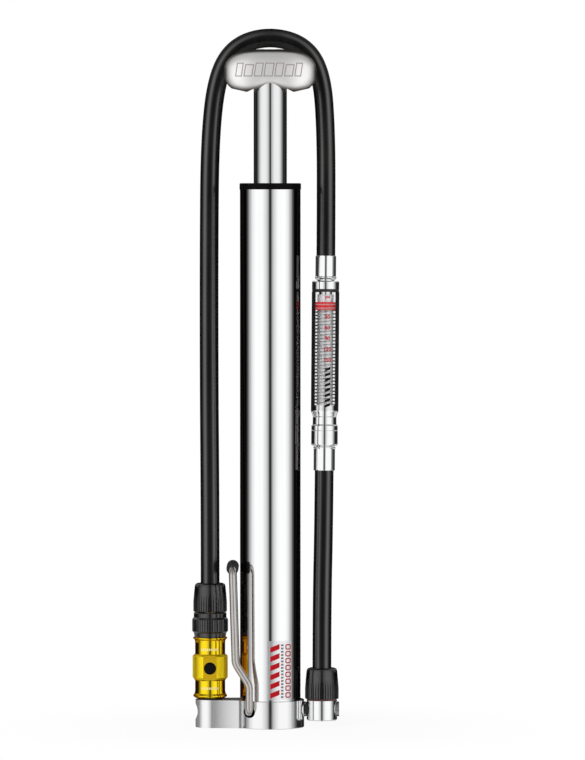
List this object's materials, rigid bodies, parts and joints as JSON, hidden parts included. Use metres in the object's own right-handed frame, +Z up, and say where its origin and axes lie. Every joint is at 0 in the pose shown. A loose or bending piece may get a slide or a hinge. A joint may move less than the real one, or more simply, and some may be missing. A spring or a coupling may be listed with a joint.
{
  "type": "mini floor pump",
  "caption": "Mini bicycle floor pump with a T handle, polished barrel, folding wire foot peg, inline sliding-ring gauge and a stowed hose with a gold threaded chuck.",
  "frame": {"origin": "barrel axis at the underside of the base, which is what the pump stands on", "axes": "+Z up along the barrel, +X towards the hose swivel, the chuck arm on -X, +Y away from the bleed button's side"},
  "size_m": [0.0656, 0.0342, 0.3117],
  "materials": {
    "polished_aluminium": "mirror polished",
    "satin_aluminium": "bead blasted satin",
    "steel": "bright",
    "peg_wire": "drawn stainless wire",
    "black_anodised": "satin black anodised",
    "black_cap": "deep black anodised",
    "gold_anodised": "polished gold anodised",
    "hose_rubber": "matte black",
    "black_rubber": "matte black",
    "black_plastic": "matte",
    "white_plastic": "moulded acetal",
    "red_indicator": "gloss",
    "clear_window": "clear polycarbonate",
    "fibre_washer": "dark red-brown fibre",
    "label_film": "silver film",
    "brass": "turned"
  },
  "bodies": {
    "pump_body": {"base_block": "polished_aluminium", "arm_end_plug": "steel", "barrel_tube": "polished_aluminium", "barrel_base_seal": "black_rubber", "barrel_label": "label_film", "top_cap": "black_cap", "rod_guide_bush": "white_plastic", "rod_wiper_ring": "black_rubber", "check_valve_seat": "brass", "check_valve_spring": "steel", "banjo_bolt": "steel", "banjo_seal": "black_rubber", "hose_lower": "hose_rubber", "hose_long": "hose_rubber", "gauge_lower_ferrule": "polished_aluminium", "gauge_lower_body": "polished_aluminium", "gauge_window": "clear_window", "gauge_core": "polished_aluminium", "gauge_spring": "steel", "gauge_top_seal": "black_rubber", "gauge_top_cap": "polished_aluminium", "gauge_upper_ferrule": "polished_aluminium", "stow_stub": "polished_aluminium", "stow_gasket": "black_rubber"},
    "piston": {"piston_head": "white_plastic", "piston_ring": "black_rubber", "piston_washer": "steel", "piston_bolt": "steel", "piston_lock_nut": "steel", "piston_bumper": "black_rubber"},
    "rod_and_handle": {"piston_rod": "polished_aluminium", "rod_end_plug": "steel", "rod_top_plug": "steel", "handle": "satin_aluminium", "handle_screw": "steel"},
    "foot_peg": {"foot_peg_wire": "peg_wire", "foot_peg_sleeve": "black_rubber"},
    "hose_swivel": {"swivel_block": "polished_aluminium", "swivel_nut_washer": "fibre_washer", "swivel_hose_nut": "black_anodised", "swivel_barb": "brass"},
    "gauge_pointer": {"gauge_indicator": "red_indicator"},
    "hose_end": {"chuck_hose_nut": "black_anodised", "chuck_hose_barb": "brass"},
    "chuck": {"chuck_body": "gold_anodised", "chuck_collar": "black_anodised", "chuck_valve_seal": "black_rubber", "bleed_spring": "steel"},
    "bleed_valve": {"bleed_button": "black_plastic", "bleed_seal": "black_rubber"},
    "check_valve": {"check_valve_disc": "black_rubber"}
  },
  "joints": [
    {"name": "pump_stroke", "type": "slide", "parent": "pump_body", "child": "piston", "axis": [0, 0, 1], "range_m": [-0.04, 0.138]},
    {"name": "handle_turn", "type": "hinge", "parent": "piston", "child": "rod_and_handle", "pos_m": [0, 0, 0.2], "axis": [0, 0, 1], "continuous": true, "deforming": ["hose_long"]},
    {"name": "foot_peg_fold", "type": "hinge", "parent": "pump_body", "child": "foot_peg", "pos_m": [-0.00933, 0, 0.0075], "axis": [0, -1, 0], "range_deg": [0, 87], "deforming": ["hose_long"]},
    {"name": "hose_swivel_tilt", "type": "hinge", "parent": "pump_body", "child": "hose_swivel", "pos_m": [0.023, 0, 0.008], "axis": [1, 0, 0], "range_deg": [-25, 25], "deforming": ["hose_lower"]},
    {"name": "gauge_reading", "type": "slide", "parent": "pump_body", "child": "gauge_pointer", "axis": [0.0078, 0.0417, 0.9991], "range_m": [-0.024, 0], "stiffness_N_per_m": 60, "deforming": ["gauge_spring"]},
    {"name": "chuck_lift_off", "type": "slide", "parent": "pump_body", "child": "hose_end", "axis": [0, 0, 1], "range_m": [0, 0.0095], "deforming": ["hose_long"]},
    {"name": "chuck_spin", "type": "hinge", "parent": "hose_end", "child": "chuck", "pos_m": [-0.02685, 0, 0.048], "axis": [0, 0, 1], "continuous": true},
    {"name": "bleed_press", "type": "slide", "parent": "chuck", "child": "bleed_valve", "axis": [0, 1, 0], "range_m": [0, 0.0012], "stiffness_N_per_m": 500, "deforming": ["bleed_spring"]},
    {"name": "check_valve_open", "type": "slide", "parent": "pump_body", "child": "check_valve", "axis": [0, 0, 1], "range_m": [-0.001, 0], "stiffness_N_per_m": 200, "deforming": ["check_valve_spring"]}
  ]
}
